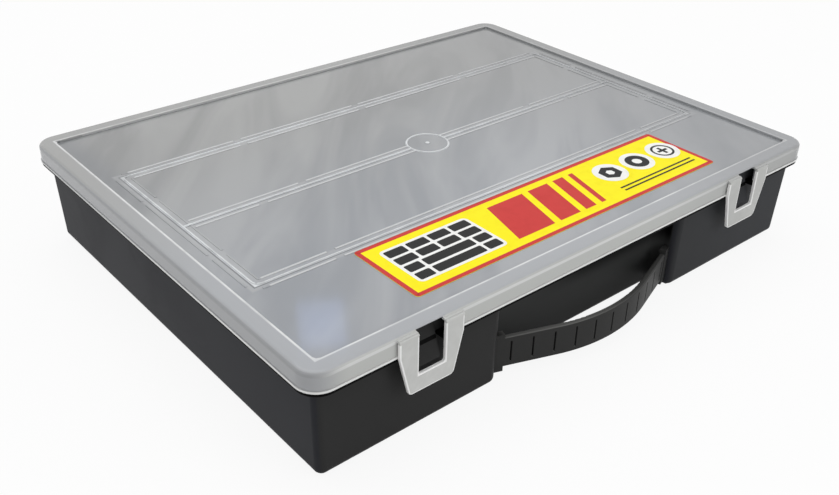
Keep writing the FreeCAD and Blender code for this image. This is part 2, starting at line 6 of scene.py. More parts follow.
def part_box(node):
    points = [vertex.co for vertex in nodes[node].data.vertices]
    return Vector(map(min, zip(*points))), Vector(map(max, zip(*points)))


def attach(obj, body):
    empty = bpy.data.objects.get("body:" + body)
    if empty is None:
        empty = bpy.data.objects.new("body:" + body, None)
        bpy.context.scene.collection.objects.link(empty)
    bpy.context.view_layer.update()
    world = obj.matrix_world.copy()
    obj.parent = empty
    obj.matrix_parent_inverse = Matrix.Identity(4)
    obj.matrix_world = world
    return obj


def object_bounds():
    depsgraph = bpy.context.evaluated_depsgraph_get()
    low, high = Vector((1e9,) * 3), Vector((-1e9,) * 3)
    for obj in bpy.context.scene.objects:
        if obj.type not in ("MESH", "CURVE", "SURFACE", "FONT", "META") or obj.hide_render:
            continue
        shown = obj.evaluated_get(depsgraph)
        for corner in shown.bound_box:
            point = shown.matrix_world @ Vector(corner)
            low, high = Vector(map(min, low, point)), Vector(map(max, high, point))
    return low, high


# %% [markdown]
# An organizer case for small parts: a black moulded tub with dividers, a milky lid hinged along
# its back, two flap latches, a strap handle and a printed label. The solids come from the
# construction model and already have their true shape and size, so this lesson is about what
# they are made of and how they are lit. The frame is metres, +X along the front, -Y towards the
# front, +Z up, with the origin in the middle of the flat bottom.

# %% Load the construction model
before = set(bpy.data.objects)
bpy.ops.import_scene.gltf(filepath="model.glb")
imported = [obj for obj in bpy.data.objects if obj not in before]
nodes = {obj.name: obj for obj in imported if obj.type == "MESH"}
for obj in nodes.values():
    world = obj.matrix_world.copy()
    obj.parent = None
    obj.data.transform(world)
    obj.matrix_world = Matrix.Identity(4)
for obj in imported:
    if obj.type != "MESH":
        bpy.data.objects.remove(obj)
cad_low, cad_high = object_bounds()
MM = 0.001
print("nodes", len(nodes), "size in mm", [round(side / MM, 1) for side in cad_high - cad_low])


# %% [markdown]
# The camera comes first, because every later look is judged through it. It could be placed by
# eye, but a camera worked out from the corners of the lid and the tub repeats the photograph's
# perspective, so each edge can be compared with the picture pixel by pixel.

# %% Place the camera
photo_width = 839
focal_length_pixels = 972.5
principal_point_pixels = Vector((430.4, 255.0))
photo_centre_pixels = Vector((419.5, 247.5))
camera_place = Vector((-345.9, -400.0, 310.1)) * MM
camera_azimuth = math.radians(-41.225)
camera_elevation = math.radians(31.653)
camera_roll = math.radians(1.456)
nearest_view = 10 * MM

away = Vector((
    math.sin(camera_azimuth) * math.cos(camera_elevation),
    -math.cos(camera_azimuth) * math.cos(camera_elevation),
    math.sin(camera_elevation),
))
level_right = (-away).cross(Vector((0, 0, 1))).normalized()
level_up = away.cross(level_right)
right = math.cos(camera_roll) * level_right + math.sin(camera_roll) * level_up
up = math.cos(camera_roll) * level_up - math.sin(camera_roll) * level_right
camera_turn = Matrix((right, up, away)).transposed()

lens = bpy.data.cameras.new("photo_camera")
lens.sensor_width = 36
lens.lens = focal_length_pixels * lens.sensor_width / photo_width
lens.shift_x = (photo_centre_pixels.x - principal_point_pixels.x) / photo_width
lens.shift_y = (principal_point_pixels.y - photo_centre_pixels.y) / photo_width
lens.clip_start = nearest_view
camera = bpy.data.objects.new("photo_camera", lens)
camera.matrix_world = Matrix.Translation(camera_place) @ camera_turn.to_4x4()
bpy.context.scene.collection.objects.link(camera)
bpy.context.scene.camera = camera
bpy.context.scene.view_settings.view_transform = "Standard"
print("lens", round(lens.lens, 2), "shift", round(lens.shift_x, 4), round(lens.shift_y, 4))


# %% [markdown]
# Shader trees are easier to read when a node is one line. These helpers add a node, set its plain
# values and link what feeds it, so a material below reads from its pattern to its finish.

# %% Write a shader node in one line
def find_input(node, label):
    """An input by its name, with underscores for blanks, or by its number, as in i0."""
    if label[1:].isdigit():
        return node.inputs[int(label[1:])]
    return node.inputs[label.replace("_", " ")]


def feed(tree, node, **feeds):
    """Links sockets, or sets plain values, on a node's inputs."""
    for label, value in feeds.items():
        socket = find_input(node, label)
        if isinstance(value, bpy.types.NodeSocket):
            tree.links.new(value, socket)
        else:
            socket.default_value = value


def add(tree, kind, settings=None, **feeds):
    """A new node of that kind: settings are its options, feeds its inputs, as values or sockets."""
    node = tree.nodes.new("ShaderNode" + kind)
    for option, value in (settings or {}).items():
        setattr(node, option, value)
    feed(tree, node, **feeds)
    return node


def object_places(tree):
    """Where a point lies on the object, which stays put when the piece is posed or exported."""
    return add(tree, "TexCoord").outputs["Object"]


def object_axes(tree):
    """The X, Y and Z of a point on the object, as sockets."""
    return add(tree, "SeparateXYZ", Vector=object_places(tree)).outputs


def facing_axes(tree):
    """The X, Y and Z of the way that the surface points, as sockets."""
    return add(tree, "SeparateXYZ", Vector=add(tree, "TexCoord").outputs["Normal"]).outputs


# %% [markdown]
# Many of the looks below are painted through masks. A mask is a number from 0 to 1 at each point,
# worked out from where the point lies or which way its surface points. A texture could do the
# same, but it would need an unwrapped surface, and a mask keeps its sharp edge at any distance.

# %% Build masks from sums
def math_node(tree, operation, first, second=0.0):
    """The result of one sum on one or two sockets or numbers."""
    return add(tree, "Math", {"operation": operation}, i0=first, i1=second).outputs[0]


def subtract(tree, first, second):
    """The first value less the second."""
    return math_node(tree, "SUBTRACT", first, second)


def distance(tree, value, middle):
    """How far a value lies from a middle, either way."""
    return math_node(tree, "ABSOLUTE", subtract(tree, value, middle))


def largest(tree, first, *others):
    """The largest of some values at each point."""
    for other in others:
        first = math_node(tree, "MAXIMUM", first, other)
    return first


def smallest(tree, first, *others):
    """The smallest of some values at each point."""
    for other in others:
        first = math_node(tree, "MINIMUM", first, other)
    return first


def multiply(tree, first, *others):
    """The product of masks: 1 only where all of them are."""
    for other in others:
        first = math_node(tree, "MULTIPLY", first, other)
    return first


def ramp(tree, value, low, high):
    """A mask that climbs smoothly from 0 at low to 1 at high."""
    settings = {"interpolation_type": "SMOOTHSTEP"}
    return add(tree, "MapRange", settings, Value=value, From_Min=low, From_Max=high).outputs[0]


def invert(tree, mask):
    """The mask turned round: 1 where it was 0."""
    return subtract(tree, 1.0, mask)


def fall(tree, value, low, high):
    """A mask that drops smoothly from 1 at low to 0 at high."""
    return invert(tree, ramp(tree, value, low, high))


def band(tree, value, low, high, blur):
    """A mask that is 1 from low to high and fades over blur beyond them."""
    return multiply(tree, ramp(tree, value, low - blur, low), fall(tree, value, high, high + blur))


def spread(tree, mask, start, end):
    """A plain value that goes from start where the mask is 0 to end where it is 1."""
    return add(tree, "MapRange", Value=mask, To_Min=start, To_Max=end).outputs[0]


def blend_colours(tree, mask, first, second):
    """The first colour where the mask is 0, the second where it is 1."""
    return add(tree, "Mix", {"data_type": "RGBA"}, i0=mask, i6=first, i7=second).outputs[2]


# %% [markdown]
# An effect that several finishes share is built once, as a node group with named inputs, and then
# placed in each material with its own values. Copies of the nodes would do too, but each change
# would have to be made in all of them. A material starts from Blender's Principled shader, which
# suits plastic, paper and metal alike.

# %% Start node groups and materials
def new_group(name, inputs, outputs):
    """An empty node group with float inputs and outputs, and its two end nodes."""
    tree = bpy.data.node_groups.new(name, "ShaderNodeTree")
    for label, value in inputs.items():
        socket = tree.interface.new_socket(label, in_out="INPUT", socket_type="NodeSocketFloat")
        socket.default_value = value
    for label in outputs:
        tree.interface.new_socket(label, in_out="OUTPUT", socket_type="NodeSocketFloat")
    start = tree.nodes.new("NodeGroupInput")
    end = tree.nodes.new("NodeGroupOutput")
    return tree, start, end


def place_group(tree, group, **values):
    """One use of a node group in a material, with its own values."""
    node = tree.nodes.new("ShaderNodeGroup")
    node.node_tree = group
    feed(tree, node, **values)
    return node


def new_material(name):
    """A material with an empty Principled shader."""
    material = bpy.data.materials.new(name)
    material.use_nodes = True
    tree = material.node_tree
    return material, tree, tree.nodes["Principled BSDF"]


def give(material, *names):
    """Puts one material on the named construction nodes."""
    for name in names:
        mesh = nodes[name].data
        mesh.materials.clear()
        mesh.materials.append(material)
    print(material.name, "on", len(names), "nodes")


# %% [markdown]
# Moulded plastic is never quite flat: the steel mould leaves a fine orange-peel skin, and use
# leaves rubs and hair scratches. Both effects serve several materials, so each is a node group
# with its own inputs. The skin puts out a height for a bump, the rubs a mask that changes the
# roughness and lightens the colour a little.

# %% Fine skin of the mould
skin_group, skin_in, skin_out = new_group("mould_skin", {"Scale": 900.0}, ["Height"])
skin_noise = add(
    skin_group, "TexNoise",
    Vector=object_places(skin_group), Scale=skin_in.outputs["Scale"], Detail=3.0, Roughness=0.6,
)
feed(skin_group, skin_out, Height=skin_noise.outputs[0])
print("group", skin_group.name)

# %% Rubs and hair scratches from handling
cloud_range = (0.42, 0.72)
hair_range = (0.66, 0.74)
rub_inputs = {"Scale": 14.0, "Amount": 0.5}
rub_group, rub_in, rub_out = new_group("handling_rubs", rub_inputs, ["Cloud", "Scratch"])
rub_places = object_places(rub_group)
rub_cloud = add(
    rub_group, "TexNoise",
    Vector=rub_places, Scale=rub_in.outputs["Scale"], Detail=4.0, Roughness=0.65, Distortion=0.4,
)
cloud_shape = ramp(rub_group, rub_cloud.outputs[0], *cloud_range)
cloud_mask = multiply(rub_group, cloud_shape, rub_in.outputs["Amount"])
stretch = add(
    rub_group, "Mapping",
    Vector=rub_places, Rotation=(0.3, 0.5, 0.9), Scale=(60.0, 900.0, 300.0),
)
hair = add(rub_group, "TexNoise", Vector=stretch.outputs[0], Scale=1.0, Detail=2.0)
hair_mask = multiply(rub_group, ramp(rub_group, hair.outputs[0], *hair_range), cloud_mask)
feed(rub_group, rub_out, Cloud=cloud_mask, Scratch=hair_mask)
print("group", rub_group.name)


# %% [markdown]
# The tub, its dividers and the strap are black polypropylene with a satin finish. A flat black
# would look like a hole, so the colour carries a slight cloud, the roughness follows the rubs and
# the skin bends the reflections. Some places carry painted light and shade. The front wall is
# painted greyer as lit, more so to the right, and the back of the handle recess is painted greyer
# as a reflection of the pale floor. The flange under the lid and the upper right of the recess are
# painted deepest black as shadow. The upper edge of the strap carries a pale painted highlight.

# %% Black mouldings
def black_plastic(name, colour, worn_colour, skin_scale):
    """Satin black moulding with rubs and a fine skin; gives back its colour for more detail."""
    fresh_roughness = 0.36
    worn_roughness = 0.48
    skin_depth = 0.1 * MM
    material, tree, shader = new_material(name)
    rubs = place_group(tree, rub_group, Scale=16.0, Amount=0.55)
    wear = math_node(tree, "ADD", rubs.outputs["Cloud"], rubs.outputs["Scratch"])
    skin = place_group(tree, skin_group, Scale=skin_scale)
    bump = add(tree, "Bump", Strength=0.05, Distance=skin_depth, Height=skin.outputs["Height"])
    feed(
        tree, shader,
        Roughness=spread(tree, wear, fresh_roughness, worn_roughness),
        Normal=bump.outputs[0],
        IOR=1.46,
        Specular_IOR_Level=0.03,
    )
    return material, tree, shader, blend_colours(tree, wear, (*colour, 1), (*worn_colour, 1))


# %% Black tub
flange_low = 51.4 * MM
flange_high = 53.2 * MM
flange_blur = 0.1 * MM
front_facing = (-0.95, -0.6)
front_light_along = (-40 * MM, 170 * MM)
recess_half_width = 68 * MM
recess_depths = (-134.0 * MM, -123.6 * MM)
recess_ceiling = (flange_low - 4 * MM, flange_low - 2 * MM)
recess_blur = 0.3 * MM
recess_shade_along = (-35 * MM, 15 * MM)
recess_shade_levels = (25 * MM, 37 * MM)

tub_black, tub_tree, tub_shader, tub_colour = black_plastic(
    "satin_black_tub", (0.0255, 0.0263, 0.0305), (0.031, 0.0315, 0.035), 900.0)
tub_x, tub_y, tub_z = object_axes(tub_tree)
# The flange band is painted deepest black as shadow under the lid, in the glazes further down.
flange = band(tub_tree, tub_z, flange_low, flange_high, flange_blur)
front_wall = fall(tub_tree, facing_axes(tub_tree)["Y"], *front_facing)
# Painted light: the front wall is painted greyer, as lit from the front, and more so to the right.
front_wall_light = blend_colours(
    tub_tree, ramp(tub_tree, tub_x, *front_light_along),
    (0.0305, 0.0305, 0.0305, 1), (0.0395, 0.041, 0.0445, 1),
)
# Painted reflection: the back of the handle recess below the flange is painted greyer, as the pale floor
# mirrored in it.
recess = multiply(
    tub_tree,
    band(tub_tree, tub_y, *recess_depths, recess_blur),
    band(tub_tree, tub_x, -recess_half_width, recess_half_width, recess_blur),
    fall(tub_tree, tub_z, *recess_ceiling),
)
# Painted shadow: the upper right of the recess, under the lid, is painted deepest black.
recess_top_shade = multiply(
    tub_tree, recess,
    ramp(tub_tree, tub_x, *recess_shade_along),
    ramp(tub_tree, tub_z, *recess_shade_levels),
)
# Glazes of painted light and shade: the lit front wall, the floor mirrored in the recess, and deepest
# black shadow on the flange and the top of the recess.
tub_glazes = (
    (front_wall, front_wall_light),
    (recess, (0.046, 0.047, 0.0465, 1)),
    (largest(tub_tree, flange, recess_top_shade), (0.003, 0.003, 0.003, 1)),
)
for mask, glaze in tub_glazes:
    tub_colour = blend_colours(tub_tree, mask, tub_colour, glaze)
feed(tub_tree, tub_shader, Base_Color=tub_colour)
divider_names = [name for name in nodes if "divider" in name]
give(tub_black, "base_tub", *divider_names)

# %% Black strap
strap_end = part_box("carry_handle")[1].x
block_length = 12 * MM
block_reach = (strap_end - block_length, strap_end - block_length / 2)
crest_facing = (0.25, 0.8)
highlight_fades_along = (-40 * MM, 25 * MM)
highlight_fade_share = 0.7

strap_black, strap_tree, strap_shader, strap_colour = black_plastic(
    "satin_black_strap", (0.038, 0.038, 0.0375), (0.045, 0.045, 0.044), 1200.0)
strap_x = object_axes(strap_tree)["X"]
# Painted highlight: the strap's upward faces are painted pale, weaker towards the right, and stop short of
# the end blocks.
highlight_fade = multiply(strap_tree, ramp(strap_tree, strap_x, *highlight_fades_along), highlight_fade_share)
crest_highlight = multiply(
    strap_tree,
    ramp(strap_tree, facing_axes(strap_tree)["Z"], *crest_facing),
    fall(strap_tree, distance(strap_tree, strap_x, 0.0), *block_reach),
    invert(strap_tree, highlight_fade),
)
crest_highlight_colour = blend_colours(strap_tree, crest_highlight, strap_colour, (0.15, 0.15, 0.145, 1))
feed(strap_tree, strap_shader, Base_Color=crest_highlight_colour)
give(strap_black, "carry_handle")


# %% [markdown]
# The lid is natural polypropylene, milky like frosted film. Part of the light scatters back from
# the plastic and part goes on through to the dark inside. It could be a volume, but a Principled
# shader with a plain transmission weight gives the same grey over black and stays quick and easy
# to export. Where the plastic turns an edge or rises in a line, its highlights and shade are
# painted into the colour, white or dark, so the lid needs to know where its own edges are. The
# next cells work that out from a point's place: how far it lies in from the outside, from the
# panel's step, and from the raised lines.

# %% Measure the lid
lid_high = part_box("lid")[1]
label_low, label_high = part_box("lid_label")
lid_half_depth = 142.5 * MM
lid_half = Vector((lid_high.x, lid_half_depth))
lid_corner_radius = 11.5 * MM
rim_width = 10.1 * MM
skirt_height = 10.7 * MM
lip_height = 1.2 * MM
edge_round = 2.0 * MM
line_margin = 21.0 * MM
line_half_depth = 68.5 * MM
line_frame_half = Vector((lid_half.x - line_margin, line_half_depth))
gate_radius = 12.55 * MM
panel_level = label_low.z
skirt_level = lid_high.z - skirt_height
lip_level = skirt_level + lip_height
shoulder_level = lid_high.z - edge_round
lid_levels = (skirt_level, lip_level, shoulder_level, panel_level)
print("lid levels in mm", [round(level / MM, 2) for level in lid_levels])


# %% Find the edges of the lid
def inset_from_outline(tree, x, y):
    """How far a point lies in from the lid's outline, which has round corners."""
    corner_x = subtract(tree, distance(tree, x, 0.0), lid_half.x - lid_corner_radius)
    corner_y = subtract(tree, distance(tree, y, 0.0), lid_half.y - lid_corner_radius)
    turn = add(tree, "CombineXYZ", X=largest(tree, corner_x, 0.0), Y=largest(tree, corner_y, 0.0))
    round_corner = add(tree, "VectorMath", {"operation": "LENGTH"}, i0=turn.outputs[0])
    straight_side = smallest(tree, largest(tree, corner_x, corner_y), 0.0)
    reach = math_node(tree, "ADD", round_corner.outputs["Value"], straight_side)
    return subtract(tree, lid_corner_radius, reach)


def skirt_zones(tree, x, y, z):
    """Masks for the lid's rim, its skirt with painted shade on the sides, the painted highlight on the
    lip, the shoulder's painted highlight and shade, and the painted shade on its right.
    """
    rim_edge = (rim_width - 0.3 * MM, rim_width + 0.3 * MM)
    skirt_edge = (0.8 * MM, 1.4 * MM)
    side_edge = (2 * MM, 22 * MM)
    lip_edge = (lip_level - 0.2 * MM, lip_level + 0.1 * MM)
    lip_fades_along = (-60 * MM, 100 * MM)
    lip_fade_share = 0.6
    shoulder_half = 0.5 * MM
    shade_along = (10 * MM, 170 * MM)
    right_shade_share = 0.5
    inset = inset_from_outline(tree, x, y)
    beside = fall(tree, subtract(tree, lid_half.x, distance(tree, x, 0.0)), *side_edge)
    skirt = fall(tree, inset, *skirt_edge)
    shoulder_edge = (shoulder_level - shoulder_half, shoulder_level + shoulder_half)
    shoulder = multiply(tree, band(tree, z, *shoulder_edge, shoulder_half), skirt)
    lip_fade = multiply(tree, beside, ramp(tree, y, *lip_fades_along), lip_fade_share)
    # Painted light and shade: the skirt is lighter at the front and back as lit and darker at the sides as
    # shaded, the shoulder carries a painted highlight at the front and back and painted shade at the
    # sides, the lip a white painted highlight that fades towards the back on the sides, and the right a
    # painted shade.
    return {
        "rim": fall(tree, inset, *rim_edge),
        "skirt": skirt,
        "skirt_side_shade": multiply(tree, skirt, beside),
        "lip": multiply(tree, fall(tree, z, *lip_edge), invert(tree, lip_fade)),
        "right_shade": multiply(tree, ramp(tree, x, *shade_along), right_shade_share),
        "shoulder_shade": multiply(tree, shoulder, beside),
        "shoulder_highlight": multiply(tree, shoulder, invert(tree, beside)),
    }


# %% Find the step down to the panel
def step_zones(tree, x, y):
    """Masks for the step inside the rim: a painted highlight near the front and left, a painted highlight
    and a painted shadow line far from them, and painted shade inside the left rim.
    """
    step_end = (rim_width - 1.3 * MM, rim_width - 0.9 * MM)
    near_step_edge = (rim_width - 1.0 * MM, rim_width + 0.1 * MM)
    near_step_blur = 0.6 * MM
    far_step_edge = (rim_width - 1.3 * MM, rim_width - 0.5 * MM)
    far_step_blur = 0.3 * MM
    dark_edge = (rim_width + 0.15 * MM, rim_width + 0.5 * MM)
    dark_blur = 0.2 * MM
    dark_end = (rim_width - 0.4 * MM, rim_width)
    shade_starts = (rim_width, rim_width + 2 * MM)
    shade_ends = (rim_width + 2 * MM, rim_width + 20 * MM)
    shade_along = (0.0, lid_half.y / 2)
    step_shade_share = 0.55
    far_highlight_share = 0.6
    near_x = math_node(tree, "ADD", x, lid_half.x)
    near_y = math_node(tree, "ADD", y, lid_half.y)
    near = smallest(tree, near_x, near_y)
    far = smallest(tree, subtract(tree, lid_half.x, x), subtract(tree, lid_half.y, y))
    # Painted highlights run along the step, on the near sides and on the far sides.
    near_step = band(tree, near, *near_step_edge, near_step_blur)
    near_highlight = multiply(tree, near_step, ramp(tree, far, *step_end))
    far_step = band(tree, far, *far_step_edge, far_step_blur)
    far_highlight = multiply(tree, far_step, ramp(tree, near, *step_end), far_highlight_share)
    # Painted shadow line just inside the step on the back and right.
    shaded_step = band(tree, far, *dark_edge, dark_blur)
    return {
        "step_shade": multiply(
            tree,
            ramp(tree, near_x, *shade_starts),
            fall(tree, near_x, *shade_ends),
            ramp(tree, y, *shade_along),
            step_shade_share,
        ),
        "step_highlight": largest(tree, near_highlight, far_highlight),
        "step_shadow_line": multiply(tree, shaded_step, ramp(tree, near, *dark_end)),
    }


# %% Find the raised lines
def line_zones(tree, x, y, z):
    """Masks for the painted highlights on the frame line, the middle line, the gate ring and the strips,
    for the painted shadow lines beside them, and for a paler band around the lines.
    """
    line_edge = (0.6 * MM, 1.0 * MM)
    ring_edge = (0.45 * MM, 0.8 * MM)
    nub_edge = (1.2 * MM, 1.4 * MM)
    frame_edge = (0.0, 0.4 * MM)
    gate_edge = (gate_radius - 0.2 * MM, gate_radius)
    frame_shadow_edge = (1.1 * MM, 1.6 * MM)
    frame_shadow_blur = 0.3 * MM
    middle_shadow_edge = (-1.4 * MM, -0.95 * MM)
    middle_shadow_blur = 0.25 * MM
    strip_levels = (panel_level + 0.1 * MM, panel_level + 0.2 * MM)
    strip_end = (-5.6 * MM, -4.8 * MM)
    pale_edge = (3.2 * MM, 4.8 * MM)
    pale_share = 0.6
    off_middle_line = distance(tree, y, 0.0)
    beyond_x = subtract(tree, distance(tree, x, 0.0), line_frame_half.x)
    beyond_y = subtract(tree, off_middle_line, line_frame_half.y)
    beyond = largest(tree, beyond_x, beyond_y)
    off_frame_line = distance(tree, beyond, 0.0)
    flat_place = add(tree, "CombineXYZ", X=x, Y=y).outputs[0]
    from_gate = add(tree, "VectorMath", {"operation": "LENGTH"}, i0=flat_place).outputs["Value"]
    off_ring = distance(tree, from_gate, gate_radius)
    inside = multiply(tree, fall(tree, beyond, *frame_edge), ramp(tree, from_gate, *gate_edge))
    # Painted highlights: the frame line, the middle line, the gate ring and its nub are painted white.
    frame_line = fall(tree, off_frame_line, *line_edge)
    middle_line = multiply(tree, inside, fall(tree, off_middle_line, *line_edge))
    ring_line = fall(tree, off_ring, *ring_edge)
    nub = fall(tree, from_gate, *nub_edge)
    # Painted shadow lines beside the frame line and the middle line.
    frame_line_shadow = band(tree, beyond, *frame_shadow_edge, frame_shadow_blur)
    middle_line_shadow = multiply(tree, inside, band(tree, y, *middle_shadow_edge, middle_shadow_blur))
    frame_band = fall(tree, off_frame_line, *pale_edge)
    middle_band = multiply(tree, inside, fall(tree, off_middle_line, *pale_edge))
    return {
        "pale_band": multiply(tree, largest(tree, frame_band, middle_band), pale_share),
        # The raised strips are painted pale, partly as thick milky plastic and partly as painted
        # highlight.
        "strip": multiply(tree, ramp(tree, z, *strip_levels), fall(tree, beyond_x, *strip_end)),
        "line_shadow": largest(tree, frame_line_shadow, middle_line_shadow),
        "line": largest(tree, frame_line, middle_line, ring_line, nub),
    }


# %% Find the inside of the lid
def inside_zones(tree, x, y):
    """Masks for the faces that look down into the case, and for the label's shadow on them."""
    downward = (-0.7, -0.3)
    shadow_blur = 0.8 * MM
    inside = fall(tree, facing_axes(tree)["Z"], *downward)
    label_along = band(tree, x, label_low.x, label_high.x, shadow_blur)
    label_across = band(tree, y, label_low.y, label_high.y, shadow_blur)
    return {"inside": inside, "label_shadow": multiply(tree, inside, label_along, label_across)}


# %% [markdown]
# With the zones known, the lid's colour is built like a stack of glazes: a panel with long soft
# streaks of painted reflection, lighter and bluer towards the front as painted light, a bluer rim,
# a warmer skirt painted lighter at the front as lit and darker at the sides as shaded, then painted
# highlights and painted shade as white and dark lines along the edges and the raised lines, and
# painted shade that darkens the right. Seen from inside the lid is painted paler, as if lit
# through, the lines are faint, and the label is a painted shadow, a darker patch. The lid keeps a
# smooth, glossy skin, because a bump on a see-through wall would only turn into grain.

# %% Mix the colours of the lid
def painted_reflection_streaks(tree):
    """Long soft streaks of painted reflection across the lid."""
    streak_turn = math.radians(-41)
    streak_size = (0.045, 0.22, 0.1)
    streak_range = (0.3, 0.68)
    turn = add(
        tree, "Mapping", {"vector_type": "TEXTURE"},
        Vector=object_places(tree), Rotation=(0, 0, streak_turn), Scale=streak_size,
    )
    streak_noise = add(
        tree, "TexNoise",
        Vector=turn.outputs[0], Scale=1.0, Detail=3.0, Roughness=0.55, Distortion=0.9,
    )
    return ramp(tree, streak_noise.outputs[0], *streak_range)


lid_milky, lid_tree, lid_shader = new_material("milky_lid")
lid_x, lid_y, lid_z = object_axes(lid_tree)
# Painted light: the panel and the rim are lighter and bluer towards the front and greyer towards the back.
to_back_shares = (-0.6, 0.8)
to_back = ramp(lid_tree, lid_y, *(share * lid_half_depth for share in to_back_shares))
# Painted reflection: long soft streaks across the panel and the inside.
reflection_streaks = painted_reflection_streaks(lid_tree)
panel_dark = blend_colours(lid_tree, to_back, (0.4, 0.42, 0.45, 1), (0.35, 0.355, 0.355, 1))
panel_light = blend_colours(lid_tree, to_back, (0.53, 0.545, 0.57, 1), (0.46, 0.465, 0.46, 1))
panel_colour = blend_colours(lid_tree, reflection_streaks, panel_dark, panel_light)
rim_colour = blend_colours(lid_tree, to_back, (0.54, 0.555, 0.58, 1), (0.47, 0.472, 0.465, 1))
# Painted light: seen from inside, the lid is painted paler, as if lit through.
inside_colour = blend_colours(lid_tree, reflection_streaks, (0.57, 0.58, 0.59, 1), (0.68, 0.69, 0.69, 1))
# The glazes, in order. Most are painted light and shade: the paler inside, the label's shadow, the shade
# inside the left rim, white highlights on the lines, strips, step, shoulder and lip, dark shadow lines
# beside them, the skirt lit at the front and shaded at the sides, and the shade on the right.
lid_glazes = (
    ("inside", inside_colour),
    ("label_shadow", (0.5, 0.495, 0.475, 1)),
    ("step_shade", (0.27, 0.285, 0.31, 1)),
    ("pale_band", (0.6, 0.61, 0.625, 1)),
    ("strip", (0.78, 0.79, 0.805, 1)),
    ("line_shadow", (0.3, 0.31, 0.325, 1)),
    ("line", (0.95, 0.975, 1.0, 1)),
    ("rim", rim_colour),
    ("skirt", (0.63, 0.64, 0.62, 1)),
    ("skirt_side_shade", (0.44, 0.45, 0.465, 1)),
    ("step_highlight", (0.98, 0.99, 1.0, 1)),
    ("shoulder_shade", (0.4, 0.41, 0.42, 1)),
    ("shoulder_highlight", (0.85, 0.86, 0.85, 1)),
    ("right_shade", (0.32, 0.325, 0.33, 1)),
    ("step_shadow_line", (0.22, 0.23, 0.24, 1)),
    ("lip", (1.0, 1.0, 0.99, 1)),
)
print("lid glazes", len(lid_glazes))

# %% Milky lid
uneven_range = (0.35, 0.6)
faintest_share = 0.55
inside_share = 0.3
zones = {
    **skirt_zones(lid_tree, lid_x, lid_y, lid_z),
    **step_zones(lid_tree, lid_x, lid_y),
    **line_zones(lid_tree, lid_x, lid_y, lid_z),
    **inside_zones(lid_tree, lid_x, lid_y),
}
# The painted highlights and the paler band vary in strength along their length.
highlight_noise = add(lid_tree, "TexNoise", Vector=object_places(lid_tree), Scale=55.0, Detail=3.0)
uneven = spread(lid_tree, ramp(lid_tree, highlight_noise.outputs[0], *uneven_range), faintest_share, 1.0)
for zone in ("line", "step_highlight", "pale_band"):
    zones[zone] = multiply(lid_tree, zones[zone], uneven)
# Seen from inside, the painted highlights and shade are fainter.
from_outside = spread(lid_tree, zones["inside"], 1.0, inside_share)
for zone in ("line", "line_shadow", "pale_band", "step_highlight", "step_shadow_line", "step_shade", "right_shade"):
    zones[zone] = multiply(lid_tree, zones[zone], from_outside)
lid_colour = panel_colour
for zone, glaze in lid_glazes:
    lid_colour = blend_colours(lid_tree, zones[zone], lid_colour, glaze)
lid_rubs = place_group(lid_tree, rub_group, Scale=20.0, Amount=0.4)
feed(
    lid_tree, lid_shader,
    Base_Color=lid_colour,
    Roughness=spread(lid_tree, lid_rubs.outputs["Cloud"], 0.07, 0.14),
    Transmission_Weight=0.3,
    IOR=1.49,
    Specular_IOR_Level=0.35,
)
give(lid_milky, "lid")


# %% [markdown]
# The latches are thin flaps of the same plastic, a little denser to the eye because the black tub
# lies close behind, and the right one is painted darker still as shade. Their edges carry a white
# painted highlight. Their faces point to the front, so a point whose surface turns away from the
# front lies on a cut edge. The painted highlight also shows as a narrow line on the face, found from
# the distance to the sides, the tip and the window.

# %% Find the edges of a latch
latch_offset = 119 * MM
latch_half = 18.5 * MM
latch_tip_half = 13 * MM
latch_tip_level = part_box("latch_left")[0].z
latch_bead_level = 61.4 * MM
bead_blur = 0.6 * MM
window_half = 7.75 * MM
window_sill_level = latch_tip_level + 9.5 * MM
edge_highlight_reach = (0.55 * MM, 0.95 * MM)
cut_facing = (0.6, 0.97)

latch_milky, latch_tree, latch_shader = new_material("milky_latch")
latch_place = object_axes(latch_tree)
latch_x = latch_place["X"]
latch_z = latch_place["Z"]
turned_front = distance(latch_tree, facing_axes(latch_tree)["Y"], 0.0)
latch_cut = fall(latch_tree, turned_front, *cut_facing)
off_middle = distance(latch_tree, distance(latch_tree, latch_x, 0.0), latch_offset)
half_width = add(
    latch_tree, "MapRange", Value=latch_z,
    From_Min=latch_tip_level, From_Max=skirt_level, To_Min=latch_tip_half, To_Max=latch_half,
).outputs[0]
from_side = subtract(latch_tree, half_width, off_middle)
from_tip = subtract(latch_tree, latch_z, latch_tip_level)
from_window = largest(
    latch_tree,
    subtract(latch_tree, off_middle, window_half),
    subtract(latch_tree, window_sill_level, latch_z),
)
from_edge = smallest(latch_tree, from_side, from_tip, from_window)
edge_highlight_line = fall(latch_tree, from_edge, *edge_highlight_reach)
below_bead = fall(latch_tree, latch_z, latch_bead_level - bead_blur, latch_bead_level)
# Painted highlight: the cut edges and a narrow line beside them are painted white, below the bead.
latch_edge_highlight = multiply(latch_tree, largest(latch_tree, latch_cut, edge_highlight_line), below_bead)
print("latch tip and sill in mm", round(latch_tip_level / MM, 2), round(window_sill_level / MM, 2))

# %% Milky latches
right_along = (-50 * MM, 50 * MM)
latch_rubs = place_group(latch_tree, rub_group, Scale=40.0, Amount=0.6).outputs["Cloud"]
